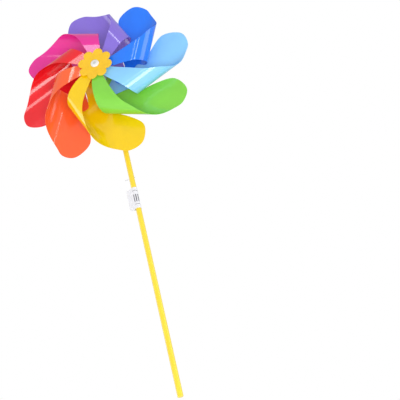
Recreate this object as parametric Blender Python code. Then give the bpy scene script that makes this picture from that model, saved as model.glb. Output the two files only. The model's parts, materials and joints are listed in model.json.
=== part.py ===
"""Eight-bladed rainbow pinwheel on a stick.

Frame: metres, +Z up along the stick, the wheel faces -Y, origin at the centre of the stick's lower end.
Every blade is the same flat sheet, punched at both ends and bent back over itself onto the axle.
"""

import math

import bmesh
import bpy
import numpy as np
from mathutils import Vector
from mathutils.geometry import delaunay_2d_cdt

# ---------------------------------------------------------------- driving dimensions (metres, degrees)
AXLE_HEIGHT = 0.428  # stick's lower end to the axle
AXLE_REACH = 0.0630  # stick's centre line forward to the first blade's front tip
FIT_GAP = 0.0003  # between pieces that rest on each other
RUNNING_GAP = 0.00015  # radial, round the axle

STICK_RADIUS = 0.0034
SOCKET_DEPTH = 0.012  # how far the stick sits in the neck
SOCKET_WALL = 0.0013
SOCKET_ROOF = 0.0012  # solid plastic between the stick's end and the axle collar

PIN_RADIUS = 0.0016
HEAD_RADIUS = 0.0055
HEAD_HEIGHT = 0.0026
DIMPLE_RADIUS = 0.0019
DIMPLE_DEPTH = 0.0006
BARB_RADIUS = 0.0022
BARB_LENGTH = 0.0026

FLOWER_PETALS = 8
FLOWER_RADIUS = 0.0230
PETAL_RADIUS = 0.0066
FLOWER_SHEET = 0.0008
FLOWER_CUP = 0.0010  # how far the petal tips stand forward
FLOWER_TURN = 22.5  # degrees, first petal from +X

WASHER_RADIUS = 0.0078
WASHER_SHEET = 0.0010
TUBE_WALL = 0.0012
BEAD_RADIUS = 0.0036
BEAD_LENGTH = 0.0050
COLLAR_OVERHANG = 0.0003  # how far the collar's ends stand past the neck's round
COLLAR_WALL = 0.0024
RETAINER_RADIUS = 0.0040
RETAINER_LENGTH = 0.0030

BLADE_SHEET = 0.0003
BLADE_GAP = 0.00025  # between the stacked blade tips
BLADE_SPAN = 0.1375  # front hole to rear hole, measured along the flat sheet
HUB_SPAN = 0.0324  # front tip to rear tip of one blade, along the axle
TIP_RADIUS = 0.0102  # round end of the sheet about its hole
FOLD_SWING = 1.365  # how strongly both legs belly out before the fold; 1 leaves the hub level
WHEEL_PHASE = -23.6  # degrees, fold direction of the green blade from +X
LINES_ACROSS = 26  # straight bend lines in a blade

LABEL_DROP = 0.1545  # axle down to the label's top edge
LABEL_HEIGHT = 0.0300
LABEL_FLAG = 0.0070  # how far the glued ends stand out from the stick
LABEL_SHEET = 0.00025
LABEL_CORNER = 0.0030

TAG_PIN_DROP = 0.1395
TAG_PIN_RADIUS = 0.00045
TAG_PIN_LEFT = 0.0092  # stick's centre line to the free end
TAG_PIN_RIGHT = 0.0044

ROUND_SIDES = 24
SMALL_SIDES = 16

# Blades from the front of the stack to the back: colour, clockwise turn from green in eighths, rgb.
# Neighbours are never more than two sheets apart, so that none has to climb over another.
BLADES = (
    ("green", 0, (0.27, 0.67, 0.09)),
    ("yellow", 1, (0.95, 0.60, 0.01)),
    ("sky", 7, (0.26, 0.62, 1.00)),
    ("orange", 2, (1.00, 0.13, 0.03)),
    ("blue", 6, (0.01, 0.19, 0.92)),
    ("red", 3, (0.73, 0.01, 0.015)),
    ("purple", 5, (0.26, 0.17, 0.74)),
    ("pink", 4, (0.80, 0.04, 0.32)),
)
YELLOW = (0.92, 0.62, 0.04)
WHITE = (0.85, 0.84, 0.82)
CLEAR = (0.80, 0.82, 0.84)

# ---------------------------------------------------------------- places that follow from the dimensions
BLADE_STEP = BLADE_SHEET + BLADE_GAP
STACK = (len(BLADES) - 1) * BLADE_STEP
HOLE_RADIUS = PIN_RADIUS + RUNNING_GAP
TUBE_RADIUS = HOLE_RADIUS + TUBE_WALL
COLLAR_RADIUS = HOLE_RADIUS + COLLAR_WALL
SOCKET_RADIUS = STICK_RADIUS + RUNNING_GAP
NECK_RADIUS = SOCKET_RADIUS + SOCKET_WALL
COLLAR_LENGTH = 2 * (NECK_RADIUS + COLLAR_OVERHANG)

FRONT_TIP_Y = -AXLE_REACH
FRONT_WASHER_Y = FRONT_TIP_Y - BLADE_SHEET / 2 - FIT_GAP - WASHER_SHEET
FLOWER_Y = FRONT_WASHER_Y - FIT_GAP - FLOWER_SHEET
HEAD_Y = FLOWER_Y - FIT_GAP
HUB_TUBE_Y = FRONT_TIP_Y + STACK + BLADE_SHEET / 2 + FIT_GAP
HUB_TUBE_END_Y = FRONT_TIP_Y + HUB_SPAN - BLADE_SHEET / 2 - FIT_GAP
REAR_WASHER_Y = FRONT_TIP_Y + HUB_SPAN + STACK + BLADE_SHEET / 2 + FIT_GAP
SPACER_Y = REAR_WASHER_Y + WASHER_SHEET + FIT_GAP
BEAD_END_Y = -COLLAR_LENGTH / 2 - FIT_GAP
SPACER_END_Y = BEAD_END_Y - BEAD_LENGTH - FIT_GAP
RETAINER_Y = COLLAR_LENGTH / 2 + FIT_GAP
BARB_Y = RETAINER_Y + RETAINER_LENGTH + FIT_GAP

STICK_TOP = AXLE_HEIGHT - COLLAR_RADIUS - SOCKET_ROOF - FIT_GAP
NECK_BOTTOM = STICK_TOP - SOCKET_DEPTH


# ---------------------------------------------------------------- general helpers
def clear_scene():
    for obj in list(bpy.data.objects):
        bpy.data.objects.remove(obj, do_unlink=True)


def plastic(name, colour, roughness=0.25):
    material = bpy.data.materials.new(name)
    material.use_nodes = True
    shader = material.node_tree.nodes["Principled BSDF"]
    shader.inputs["Base Color"].default_value = (*colour, 1.0)
    shader.inputs["Roughness"].default_value = roughness
    shader.inputs["Metallic"].default_value = 0.0
    return material


def make_object(name, mesh, material, location=(0, 0, 0), parent=None):
    """Puts a mesh in the scene. The material sits on the object, so that copies can share the mesh."""
    obj = bpy.data.objects.new(name, mesh)
    bpy.context.scene.collection.objects.link(obj)
    if not mesh.materials:
        mesh.materials.append(None)
    obj.material_slots[0].link = "OBJECT"
    obj.material_slots[0].material = material
    obj.parent = parent
    obj.location = location
    return obj


def mesh_from(name, points, faces, sharp_angle=35):
    """A closed mesh with its faces turned outward and its round stretches smooth."""
    work = bmesh.new()
    vertices = [work.verts.new(point) for point in points]
    for face in faces:
        work.faces.new([vertices[index] for index in face])
    bmesh.ops.recalc_face_normals(work, faces=work.faces)
    mesh = bpy.data.meshes.new(name)
    work.to_mesh(mesh)
    work.free()
    mesh.shade_smooth()
    mesh.set_sharp_from_angle(angle=math.radians(sharp_angle))
    return mesh


def turned(name, profile, sides=ROUND_SIDES):
    """Turns (radius, y) points round the Y axis. Radius 0 at both ends closes the solid on the axis;
    otherwise the profile is a closed ring, such as a washer's section."""
    solid = profile[0][0] == 0
    rings = profile[1:-1] if solid else profile
    points = []
    for radius, along in rings:
        for side in range(sides):
            turn = 2 * math.pi * side / sides
            points.append((radius * math.cos(turn), along, radius * math.sin(turn)))
    pairs = len(rings) - 1 if solid else len(rings)
    faces = []
    for ring in range(pairs):
        low = ring * sides
        high = (ring + 1) % len(rings) * sides
        for side in range(sides):
            after = (side + 1) % sides
            faces.append((low + side, low + after, high + after, high + side))
    if solid:
        faces.append(tuple(range(sides)))
        faces.append(tuple(range(len(points) - sides, len(points))))
    return mesh_from(name, points, faces)


def ring_profile(inner, outer, start, end):
    return [(inner, start), (outer, start), (outer, end), (inner, end)]


def upright_cylinder(name, radius, low, high, sides=ROUND_SIDES):
    """A solid cylinder along Z."""
    points = []
    for height in (low, high):
        for side in range(sides):
            turn = 2 * math.pi * side / sides
            points.append((radius * math.cos(turn), radius * math.sin(turn), height))
    faces = [tuple(range(sides)), tuple(range(sides, 2 * sides))]
    for side in range(sides):
        after = (side + 1) % sides
        faces.append((side, after, sides + after, sides + side))
    return mesh_from(name, points, faces)


def helper(name, mesh, location=(0, 0, 0)):
    """A hidden solid that a Boolean uses."""
    obj = bpy.data.objects.new(name, mesh)
    bpy.context.scene.collection.objects.link(obj)
    obj.location = location
    obj.hide_render = True
    obj.display_type = "WIRE"
    obj.hide_set(True)
    return obj


def combine(obj, other, operation):
    modifier = obj.modifiers.new(other.name, "BOOLEAN")
    modifier.operation = operation
    modifier.solver = "EXACT"
    modifier.object = other


# ---------------------------------------------------------------- blades
def running_sum(values, step):
    return np.concatenate([[0.0], np.cumsum((values[1:] + values[:-1]) / 2) * step])


def fold_profile(count=400):
    """Distance along the sheet, with the matching place out from the axle, depth and heading.
    The heading leaves the hub outward (0), turns right round (pi) and comes back. The bent stretch
    is as long as it takes to reach from one tip to the other; the rest of the sheet lies flat."""
    share = np.linspace(0.0, 1.0, count)
    heading = math.pi * share - FOLD_SWING / 2 * np.sin(2 * math.pi * share)
    bent = HUB_SPAN / running_sum(np.sin(heading), share[1])[-1]
    flat = (BLADE_SPAN - bent) / 2
    step = bent * share[1]
    outward = flat + running_sum(np.cos(heading), step)
    depth = running_sum(np.sin(heading), step)
    along = flat + bent * share
    spare = 3 * TIP_RADIUS
    along = np.concatenate([[-spare], along, [BLADE_SPAN + spare]])
    outward = np.concatenate([[-spare], outward, [-spare]])
    depth = np.concatenate([[0.0], depth, [HUB_SPAN]])
    heading = np.concatenate([[0.0], heading, [math.pi]])
    return along, outward, depth, heading


def smooth_edge(points, per_stretch=5):
    """A Catmull-Rom curve through (across, along) points, the ends taken as mirrored."""
    knots = np.array(points)
    knots = np.vstack([2 * knots[0] - knots[1], knots, 2 * knots[-1] - knots[-2]])
    found = []
    for first in range(len(points) - 1):
        before, start, end, after = knots[first : first + 4]
        for step in range(per_stretch):
            t = step / per_stretch
            found.append(
                0.5
                * (
                    2 * start
                    + (end - before) * t
                    + (2 * before - 5 * start + 4 * end - after) * t**2
                    + (3 * start - before - 3 * end + after) * t**3
                )
            )
    found.append(np.array(points[-1]))
    return found


def round_tip(centre, start, end, steps=9):
    """Points of the sheet's round end about a hole, from one heading to another, in degrees."""
    turns = np.radians(np.linspace(start, end, steps))
    return list(np.column_stack([TIP_RADIUS * np.cos(turns), centre + TIP_RADIUS * np.sin(turns)]))


def flat_outline():
    """The die-cut outline, across the fold lines (u) and along the sheet (s), anticlockwise.
    The two holes are at (0, 0) and (0, BLADE_SPAN)."""
    span = BLADE_SPAN
    leading = [
        (TIP_RADIUS, 0.0),
        (0.0931 * span, 0.10 * span),
        (0.2109 * span, 0.25 * span),
        (0.3236 * span, 0.36 * span),
        (0.4873 * span, 0.46 * span),
        (0.7273 * span, 0.67 * span),
        (0.8291 * span, 0.77 * span),
        (0.84 * span, 0.91 * span),
        (0.6982 * span, 1.0145 * span),
        (0.5236 * span, 0.9564 * span),
        (0.3891 * span, 0.8749 * span),
        (0.3273 * span, 0.9185 * span),
        (0.24 * span, 0.8909 * span),
        (0.1491 * span, 0.84 * span),
        (0.0691 * span, 0.8836 * span),
        (TIP_RADIUS, span),
    ]
    trailing = [
        (-TIP_RADIUS, span),
        (-0.0465 * span, 0.8705 * span),
        (0.0073 * span, 0.7891 * span),
        (0.0873 * span, 0.76 * span),
        (0.2 * span, 0.70 * span),
        (0.1745 * span, 0.60 * span),
        (0.1287 * span, 0.50 * span),
        (0.0291 * span, 0.25 * span),
        (-0.0189 * span, 0.10 * span),
        (-TIP_RADIUS, 0.0),
    ]
    front_tip = round_tip(0.0, 180, 360)
    rear_tip = round_tip(span, 0, 180)
    return front_tip[:-1] + smooth_edge(leading)[:-1] + rear_tip[:-1] + smooth_edge(trailing)[:-1]


def circle(centre, radius, sides=SMALL_SIDES):
    turns = [2 * math.pi * side / sides for side in range(sides)]
    return [np.array([radius * math.cos(turn), centre + radius * math.sin(turn)]) for turn in turns]


def inside(point, loops):
    """Even-odd test against closed loops."""
    hit = False
    for loop in loops:
        for start, end in zip(loop, loop[1:] + loop[:1]):
            if (start[1] > point[1]) != (end[1] > point[1]):
                crossing = start[0] + (point[1] - start[1]) * (end[0] - start[0]) / (end[1] - start[1])
                if crossing > point[0]:
                    hit = not hit
    return hit


def flat_triangles(loops, lines):
    """Triangles of the flat sheet, split along the straight bend lines."""
    points = []
    edges = []
    for loop in loops:
        first = len(points)
        points += [Vector(point) for point in loop]
        edges += [(first + i, first + (i + 1) % len(loop)) for i in range(len(loop))]
    reach = 2 * BLADE_SPAN
    for line in lines:
        edges.append((len(points), len(points) + 1))
        points += [Vector((-reach, line)), Vector((reach, line))]
    found = delaunay_2d_cdt(points, edges, [], 0, 1e-5)
    vertices = [tuple(vertex) for vertex in found[0]]
    kept = []
    for face in found[2]:
        centre = np.mean([vertices[index] for index in face], axis=0)
        if inside(centre, loops):
            kept.append(tuple(face))
    used = sorted({index for face in kept for index in face})
    place = {old: new for new, old in enumerate(used)}
    return [vertices[old] for old in used], [tuple(place[old] for old in face) for face in kept]


def blade_mesh():
    """The sheet cut flat, then bent: u runs along +X, the fold lies towards -Z, depth runs along +Y."""
    loops = [flat_outline(), circle(0.0, HOLE_RADIUS), circle(BLADE_SPAN, HOLE_RADIUS)]
    along, outward, depth, heading = fold_profile()
    lines = np.linspace(along[1], along[-2], LINES_ACROSS)
    flat, triangles = flat_triangles(loops, lines)
    flat = np.array(flat)
    out = np.interp(flat[:, 1], along, outward)
    deep = np.interp(flat[:, 1], along, depth)
    turn = np.interp(flat[:, 1], along, heading)
    middle = np.column_stack([flat[:, 0], deep, -out])
    normal = np.column_stack([np.zeros(len(flat)), np.cos(turn), np.sin(turn)])
    points = np.vstack([middle - normal * BLADE_SHEET / 2, middle + normal * BLADE_SHEET / 2])
    count = len(flat)
    faces = list(triangles)
    faces += [tuple(index + count for index in reversed(face)) for face in triangles]
    directed = {(face[i], face[(i + 1) % 3]) for face in triangles for i in range(3)}
    for start, end in sorted(directed):
        if (end, start) not in directed:
            faces.append((end, start, start + count, end + count))
    return mesh_from("blade", points.tolist(), faces)


def build_blades(wheel):
    mesh = blade_mesh()
    spacing = 360 / len(BLADES)
    for level, (colour, turn, rgb) in enumerate(BLADES):
        name = "blade_" + colour
        location = (0, FRONT_TIP_Y + level * BLADE_STEP, 0)
        blade = make_object(name, mesh, plastic(name, rgb, 0.12), location, wheel)
        blade.rotation_euler = (0, -math.radians(WHEEL_PHASE - turn * spacing), 0)


# ---------------------------------------------------------------- hub pieces
def build_axle_pin(wheel):
    """Domed head with a moulding dimple, shank through wheel and neck, and a pointed barb."""
    crown = HEAD_Y - HEAD_HEIGHT
    dome = []
    for step in range(6):
        turn = math.radians(90 * step / 5)
        radius = DIMPLE_RADIUS + (HEAD_RADIUS - DIMPLE_RADIUS) * math.sin(turn)
        dome.append((radius, crown + HEAD_HEIGHT * 0.75 * (1 - math.cos(turn))))
    floor = crown + DIMPLE_DEPTH
    profile = [(0, floor), (DIMPLE_RADIUS * 0.8, floor)] + dome
    profile += [
        (HEAD_RADIUS, HEAD_Y),
        (PIN_RADIUS, HEAD_Y),
        (PIN_RADIUS, BARB_Y),
        (BARB_RADIUS, BARB_Y),
        (PIN_RADIUS * 0.5, BARB_Y + BARB_LENGTH),
        (0, BARB_Y + BARB_LENGTH),
    ]
    make_object("axle_pin", turned("axle_pin", profile), plastic("axle_pin", WHITE), (0, 0, 0), wheel)


def flower_outline():
    """Eight round petals: arcs about points set back from the tips, with sharp notches between."""
    centre = FLOWER_RADIUS - PETAL_RADIUS
    half = math.pi / FLOWER_PETALS
    notch = centre * math.cos(half) + math.sqrt(PETAL_RADIUS**2 - (centre * math.sin(half)) ** 2)
    sweep = math.atan2(notch * math.sin(half), notch * math.cos(half) - centre)
    outline = []
    for petal in range(FLOWER_PETALS):
        middle = 2 * half * petal + math.radians(FLOWER_TURN)
        for step in range(7):
            turn = middle - sweep + 2 * sweep * step / 7
            outline.append(
                (
                    centre * math.cos(middle) + PETAL_RADIUS * math.cos(turn),
                    centre * math.sin(middle) + PETAL_RADIUS * math.sin(turn),
                )
            )
    return outline


def build_flower(wheel):
    """A thin stamped disc whose petals stand slightly forward."""
    rim = flower_outline()
    bore = [
        (HOLE_RADIUS * math.cos(math.atan2(z, x)), HOLE_RADIUS * math.sin(math.atan2(z, x)))
        for x, z in rim
    ]
    shares = (0.0, 0.35, 0.7, 1.0)
    points = []
    for back in (0.0, FLOWER_SHEET):
        for share in shares:
            for (x0, z0), (x1, z1) in zip(bore, rim):
                x = x0 + (x1 - x0) * share
                z = z0 + (z1 - z0) * share
                cup = FLOWER_CUP * (math.hypot(x, z) / FLOWER_RADIUS) ** 2
                points.append((x, FLOWER_Y + back - cup, z))
    count = len(rim)
    loop = list(range(len(shares))) + list(range(2 * len(shares) - 1, len(shares) - 1, -1))
    faces = []
    for first, second in zip(loop, loop[1:] + loop[:1]):
        for side in range(count):
            after = (side + 1) % count
            start, end = first * count, second * count
            faces.append((start + side, start + after, end + after, end + side))
    make_object("flower", mesh_from("flower", points, faces), plastic("flower", YELLOW), (0, 0, 0), wheel)


def build_rings(wheel):
    """Washers, spacer tubes and the bead: the turned pieces threaded on the axle."""
    rings = (
        ("front_washer", WASHER_RADIUS, FRONT_WASHER_Y, FRONT_WASHER_Y + WASHER_SHEET, WHITE),
        ("hub_tube", TUBE_RADIUS, HUB_TUBE_Y, HUB_TUBE_END_Y, WHITE),
        ("rear_washer", WASHER_RADIUS, REAR_WASHER_Y, REAR_WASHER_Y + WASHER_SHEET, WHITE),
        ("rear_spacer", TUBE_RADIUS, SPACER_Y, SPACER_END_Y, WHITE),
        ("retainer", RETAINER_RADIUS, RETAINER_Y, RETAINER_Y + RETAINER_LENGTH, WHITE),
    )
    for name, radius, start, end, colour in rings:
        mesh = turned(name, ring_profile(HOLE_RADIUS, radius, start, end))
        make_object(name, mesh, plastic(name, colour), (0, 0, 0), wheel)


def build_bead(wheel):
    """A barrel-shaped bead, the wear face between the wheel and the neck."""
    start = BEAD_END_Y - BEAD_LENGTH
    waist = TUBE_RADIUS
    profile = [(HOLE_RADIUS, start)]
    for step in range(7):
        share = step / 6
        radius = waist + (BEAD_RADIUS - waist) * math.sin(math.pi * share)
        profile.append((radius, start + BEAD_LENGTH * share))
    profile.append((HOLE_RADIUS, BEAD_END_Y))
    make_object("bead", turned("bead", profile), plastic("bead", YELLOW), (0, 0, 0), wheel)


# ---------------------------------------------------------------- neck, stick and label
def build_neck():
    """A collar round the axle, joined to a blind socket that drops over the stick's end."""
    height = AXLE_HEIGHT
    body_mesh = upright_cylinder("neck", NECK_RADIUS, NECK_BOTTOM, height)
    body = make_object("neck", body_mesh, plastic("neck", WHITE, 0.35))
    half = COLLAR_LENGTH / 2
    collar_profile = [(0, -half), (COLLAR_RADIUS, -half), (COLLAR_RADIUS, half), (0, half)]
    collar = helper("neck_collar", turned("neck_collar", collar_profile), (0, 0, height))
    combine(body, collar, "UNION")
    bore_profile = [(0, -half * 2), (HOLE_RADIUS, -half * 2), (HOLE_RADIUS, half * 2), (0, half * 2)]
    bore = helper("neck_bore", turned("neck_bore", bore_profile), (0, 0, height))
    combine(body, bore, "DIFFERENCE")
    socket_low = NECK_BOTTOM - SOCKET_DEPTH
    socket_mesh = upright_cylinder("neck_socket", SOCKET_RADIUS, socket_low, STICK_TOP + FIT_GAP)
    combine(body, helper("neck_socket", socket_mesh), "DIFFERENCE")


def cross_rod(name, radius, left, right, height):
    """A solid rod along X."""
    points = []
    for x in (-left, right):
        for side in range(SMALL_SIDES):
            turn = 2 * math.pi * side / SMALL_SIDES
            points.append((x, radius * math.cos(turn), height + radius * math.sin(turn)))
    faces = [tuple(range(SMALL_SIDES)), tuple(range(SMALL_SIDES, 2 * SMALL_SIDES))]
    for side in range(SMALL_SIDES):
        after = (side + 1) % SMALL_SIDES
        faces.append((side, after, SMALL_SIDES + after, SMALL_SIDES + side))
    return mesh_from(name, points, faces)


def build_stick():
    stick_mesh = upright_cylinder("stick", STICK_RADIUS, 0.0, STICK_TOP)
    stick = make_object("stick", stick_mesh, plastic("stick", YELLOW, 0.3))
    height = AXLE_HEIGHT - TAG_PIN_DROP
    hole_mesh = cross_rod("stick_cross_hole", TAG_PIN_RADIUS + FIT_GAP, TAG_PIN_LEFT, TAG_PIN_LEFT, height)
    combine(stick, helper("stick_cross_hole", hole_mesh), "DIFFERENCE")
    pin_mesh = cross_rod("tag_pin", TAG_PIN_RADIUS, TAG_PIN_LEFT, TAG_PIN_RIGHT, height)
    make_object("tag_pin", pin_mesh, plastic("tag_pin", CLEAR))


def flag_outline(reach):
    """The flag's side view with rounded outer corners, from the stick's centre line out to -X."""
    low = AXLE_HEIGHT - LABEL_DROP - LABEL_HEIGHT
    high = low + LABEL_HEIGHT
    outline = [(0.0, low), (0.0, high)]
    corners = ((high - LABEL_CORNER, 90), (low + LABEL_CORNER, 180))
    for centre_z, start in corners:
        for step in range(6):
            turn = math.radians(start + 90 * step / 5)
            x = -reach + LABEL_CORNER + LABEL_CORNER * math.cos(turn)
            outline.append((x, centre_z + LABEL_CORNER * math.sin(turn)))
    return outline


def build_label():
    """A sticker wrapped round the stick, its two ends glued together as a flag towards -X."""
    inner = STICK_RADIUS + RUNNING_GAP
    outer = inner + LABEL_SHEET
    low = AXLE_HEIGHT - LABEL_DROP - LABEL_HEIGHT
    wrap = upright_cylinder("label", outer, low, low + LABEL_HEIGHT)
    label = make_object("label", wrap, plastic("label", WHITE, 0.5))
    outline = flag_outline(outer + LABEL_FLAG)
    count = len(outline)
    points = [(x, -LABEL_SHEET, z) for x, z in outline] + [(x, LABEL_SHEET, z) for x, z in outline]
    faces = [tuple(range(count)), tuple(range(count, 2 * count))]
    for side in range(count):
        after = (side + 1) % count
        faces.append((side, after, count + after, count + side))
    combine(label, helper("label_flag", mesh_from("label_flag", points, faces)), "UNION")
    hole_mesh = upright_cylinder("label_hole", inner, low - LABEL_CORNER, low + LABEL_HEIGHT + LABEL_CORNER)
    combine(label, helper("label_hole", hole_mesh), "DIFFERENCE")


def build():
    clear_scene()
    wheel = bpy.data.objects.new("wheel_axis", None)
    bpy.context.scene.collection.objects.link(wheel)
    wheel.location = (0, 0, AXLE_HEIGHT)
    build_blades(wheel)
    build_axle_pin(wheel)
    build_flower(wheel)
    build_rings(wheel)
    build_bead(wheel)
    build_neck()
    build_stick()
    build_label()


build()
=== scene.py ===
"""Finished look of a rainbow pinwheel: bent sheet blades, hub pieces, neck, stick and sticker.

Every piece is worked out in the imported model's frame: metres, +Z up the stick, the wheel faces -Y.
"""

import json
import logging
import math
from dataclasses import dataclass, field
from enum import Enum
from typing import Any, Sequence

import bpy
import numpy as np
from mathutils import Matrix, Vector

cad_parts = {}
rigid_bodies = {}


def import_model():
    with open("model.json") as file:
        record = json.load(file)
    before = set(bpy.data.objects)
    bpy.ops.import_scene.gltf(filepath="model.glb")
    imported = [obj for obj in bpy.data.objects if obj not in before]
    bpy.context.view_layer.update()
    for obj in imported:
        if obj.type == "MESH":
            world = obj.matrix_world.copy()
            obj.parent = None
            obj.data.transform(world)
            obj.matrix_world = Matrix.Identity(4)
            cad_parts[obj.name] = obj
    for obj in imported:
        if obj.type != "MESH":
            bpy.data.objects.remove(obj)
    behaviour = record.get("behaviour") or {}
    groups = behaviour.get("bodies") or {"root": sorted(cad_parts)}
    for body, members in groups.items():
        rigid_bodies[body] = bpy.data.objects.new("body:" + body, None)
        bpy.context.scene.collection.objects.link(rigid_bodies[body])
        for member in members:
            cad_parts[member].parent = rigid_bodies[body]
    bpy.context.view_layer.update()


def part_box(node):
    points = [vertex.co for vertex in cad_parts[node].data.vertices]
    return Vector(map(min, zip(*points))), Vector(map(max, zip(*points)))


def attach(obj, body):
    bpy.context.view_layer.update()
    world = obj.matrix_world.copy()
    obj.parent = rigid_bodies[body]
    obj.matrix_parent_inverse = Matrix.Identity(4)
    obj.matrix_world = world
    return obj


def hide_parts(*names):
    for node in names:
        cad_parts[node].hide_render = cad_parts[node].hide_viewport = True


LOG = logging.getLogger("pinwheel")
Array = np.ndarray
Colour = tuple[float, float, float]
Outline = Sequence[tuple[float, float]]

# Points that agree to this many digits are one point.
WELD_DIGITS = 8
# Edges that turn by more degrees than this stay sharp.
SHARP_TURN = 40.0
# A softened corner takes at most this share of each of its sides.
CORNER_LIMIT = 0.45
# How far the inner face of a sheet is moved over on the sheet's map, which tells it from the outer face.
INNER_SHIFT = 1.0


# ------------------------------------------------------------------ surfaces
def grid_quads(rows: int, columns: int, wrap_rows: bool = False, wrap_columns: bool = False) -> Array:
    """Corner numbers of the cells of a grid whose points are stored row by row.

    Args:
        rows: Points along the first parameter.
        columns: Points along the second parameter.
        wrap_rows: Joins the last row to the first.
        wrap_columns: Joins the last column to the first.

    Returns:
        One row of four corner numbers per cell.
    """
    row = np.arange(rows if wrap_rows else rows - 1)[:, None]
    column = np.arange(columns if wrap_columns else columns - 1)[None, :]
    next_row = (row + 1) % rows
    next_column = (column + 1) % columns
    corners = [
        row * columns + column,
        next_row * columns + column,
        next_row * columns + next_column,
        row * columns + next_column,
    ]
    return np.stack(corners, axis=-1).reshape(-1, 4)


def weld(points: Array, quads: Array) -> tuple[Array, Array, Array]:
    """Merges points that share a place, so that seams and poles close.

    Args:
        points: Points, one per row.
        quads: Cells of four corner numbers.

    Returns:
        The merged points, the cells renumbered, and for each merged point the number of its first original.
    """
    near = np.round(points, WELD_DIGITS)
    _, first, place = np.unique(near, axis=0, return_index=True, return_inverse=True)
    return points[first], place.reshape(-1)[quads], first


def split_poles(quads: Array) -> list[list[int]]:
    """Turns cells with two corners in one place into triangles, and drops cells with no area."""
    a, b, c, d = quads.T
    flat = ((a == b) & (c == d)) | ((b == c) & (d == a)) | (a == c) | (b == d)
    whole = (a != b) & (b != c) & (c != d) & (d != a) & ~flat
    faces = quads[whole].tolist()
    pinched = ((a == b, [1, 2, 3]), (b == c, [0, 1, 3]), (c == d, [0, 1, 2]), (d == a, [0, 1, 2]))
    for equal, kept in pinched:
        faces += quads[equal & ~flat][:, kept].tolist()
    return faces


def make_piece(
    name: str, points: Array, quads: Array, sharp: float = SHARP_TURN, flat: Array | None = None
) -> bpy.types.Object:
    """Puts a closed surface into the scene with its faces pointing outward.

    Args:
        name: Name of the piece.
        points: Points, one per row, in metres.
        quads: Cells of four corner numbers.
        sharp: Edges that turn by more than this many degrees stay sharp.
        flat: Optional place of each point on the flat pattern, kept as the UV map "sheet".

    Returns:
        The new object.
    """
    merged, cells, first = weld(points, quads)
    mesh = bpy.data.meshes.new(name)
    mesh.from_pydata(merged.tolist(), [], split_poles(cells))
    mesh.update()
    if enclosed_volume(mesh) < 0:
        mesh.flip_normals()
    if flat is not None:
        corner_points = np.empty(len(mesh.loops), np.int32)
        mesh.loops.foreach_get("vertex_index", corner_points)
        layer = mesh.uv_layers.new(name="sheet")
        layer.data.foreach_set("uv", flat[first][corner_points].astype(np.float32).ravel())
    mesh.shade_smooth()
    mesh.set_sharp_from_angle(angle=math.radians(sharp))
    obj = bpy.data.objects.new(name, mesh)
    bpy.context.scene.collection.objects.link(obj)
    return obj


def enclosed_volume(mesh: bpy.types.Mesh) -> float:
    """Six times the volume inside a closed mesh, negative if the mesh is inside out.

    It is the sum over the triangles of a . (b x c), where a, b and c are a triangle's corners.

    Args:
        mesh: The closed mesh.

    Returns:
        The sum, in cubic metres.
    """
    mesh.calc_loop_triangles()
    points = np.empty(len(mesh.vertices) * 3)
    mesh.vertices.foreach_get("co", points)
    corners = np.empty(len(mesh.loop_triangles) * 3, np.int32)
    mesh.loop_triangles.foreach_get("vertices", corners)
    a, b, c = points.reshape(-1, 3)[corners.reshape(-1, 3)].transpose(1, 0, 2)
    return float(np.einsum("ij,ij->i", a, np.cross(b, c)).sum())


def thicken(middle: Array, normals: Array, quads: Array, thickness: float) -> tuple[Array, Array]:
    """Gives a sheet two faces and a rim: each point moves half the thickness to each side along its normal.

    Args:
        middle: Points of the sheet's middle surface.
        normals: Unit normal at each point.
        quads: Cells of the middle surface.
        thickness: Whole thickness.

    Returns:
        The points of both sides and the cells of a closed surface.
    """
    count = len(middle)
    points = np.vstack([middle - normals * thickness / 2, middle + normals * thickness / 2])
    edges = np.concatenate([quads[:, [0, 1]], quads[:, [1, 2]], quads[:, [2, 3]], quads[:, [3, 0]]])
    edges = edges[edges[:, 0] != edges[:, 1]]
    forward = edges[:, 0] * count + edges[:, 1]
    backward = edges[:, 1] * count + edges[:, 0]
    start, end = edges[~np.isin(forward, backward)].T
    rim = np.column_stack([end, start, start + count, end + count])
    return points, np.vstack([quads, quads[:, ::-1] + count, rim])


def spline(knots: Array, at: Array) -> Array:
    """Catmull-Rom curve through the knots, its end tangents mirrored.

    Args:
        knots: The points passed through, one per row.
        at: Places along the curve, where knot number n is at n.

    Returns:
        One point per place: half the sum of the usual four-knot cubic terms.
    """
    padded = np.vstack([2 * knots[0] - knots[1], knots, 2 * knots[-1] - knots[-2]])
    first = np.clip(np.floor(at).astype(int), 0, len(knots) - 2)
    t = (at - first)[:, None]
    before, start, end, after = (padded[first + step] for step in range(4))
    square = (2 * before - 5 * start + 4 * end - after) * t**2
    cube = (3 * start - before - 3 * end + after) * t**3
    return (2 * start + (end - before) * t + square + cube) / 2


def rounded(corners: Outline, radius: float, steps: int = 5, closed: bool = True) -> Array:
    """Softens each corner of a section with a curve that leaves and meets its sides at the radius.

    Args:
        corners: Corner points of the section.
        radius: Distance from the corner at which its curve starts, limited to under half of each side.
        steps: Points per corner.
        closed: False leaves the first and last point as they are.

    Returns:
        Points along the softened section: at share t of a corner, (1-t)^2 a + 2t(1-t) corner + t^2 b.
    """
    middle = np.array(corners, float)
    before, after = np.roll(middle, 1, axis=0), np.roll(middle, -1, axis=0)
    ends = []
    for other in (before, after):
        side = np.linalg.norm(other - middle, axis=1, keepdims=True)
        ends.append(middle + (other - middle) * np.minimum(radius / side, CORNER_LIMIT))
    t = np.linspace(0, 1, steps)[None, :, None]
    start, corner, end = ends[0][:, None], middle[:, None], ends[1][:, None]
    curve = (1 - t) ** 2 * start + 2 * t * (1 - t) * corner + t**2 * end
    if closed:
        return curve.reshape(-1, 2)
    return np.vstack([middle[:1], curve[1:-1].reshape(-1, 2), middle[-1:]])


class Axis(Enum):
    """The straight line that a turned piece goes round."""

    X = 0
    Y = 1
    Z = 2


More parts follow.
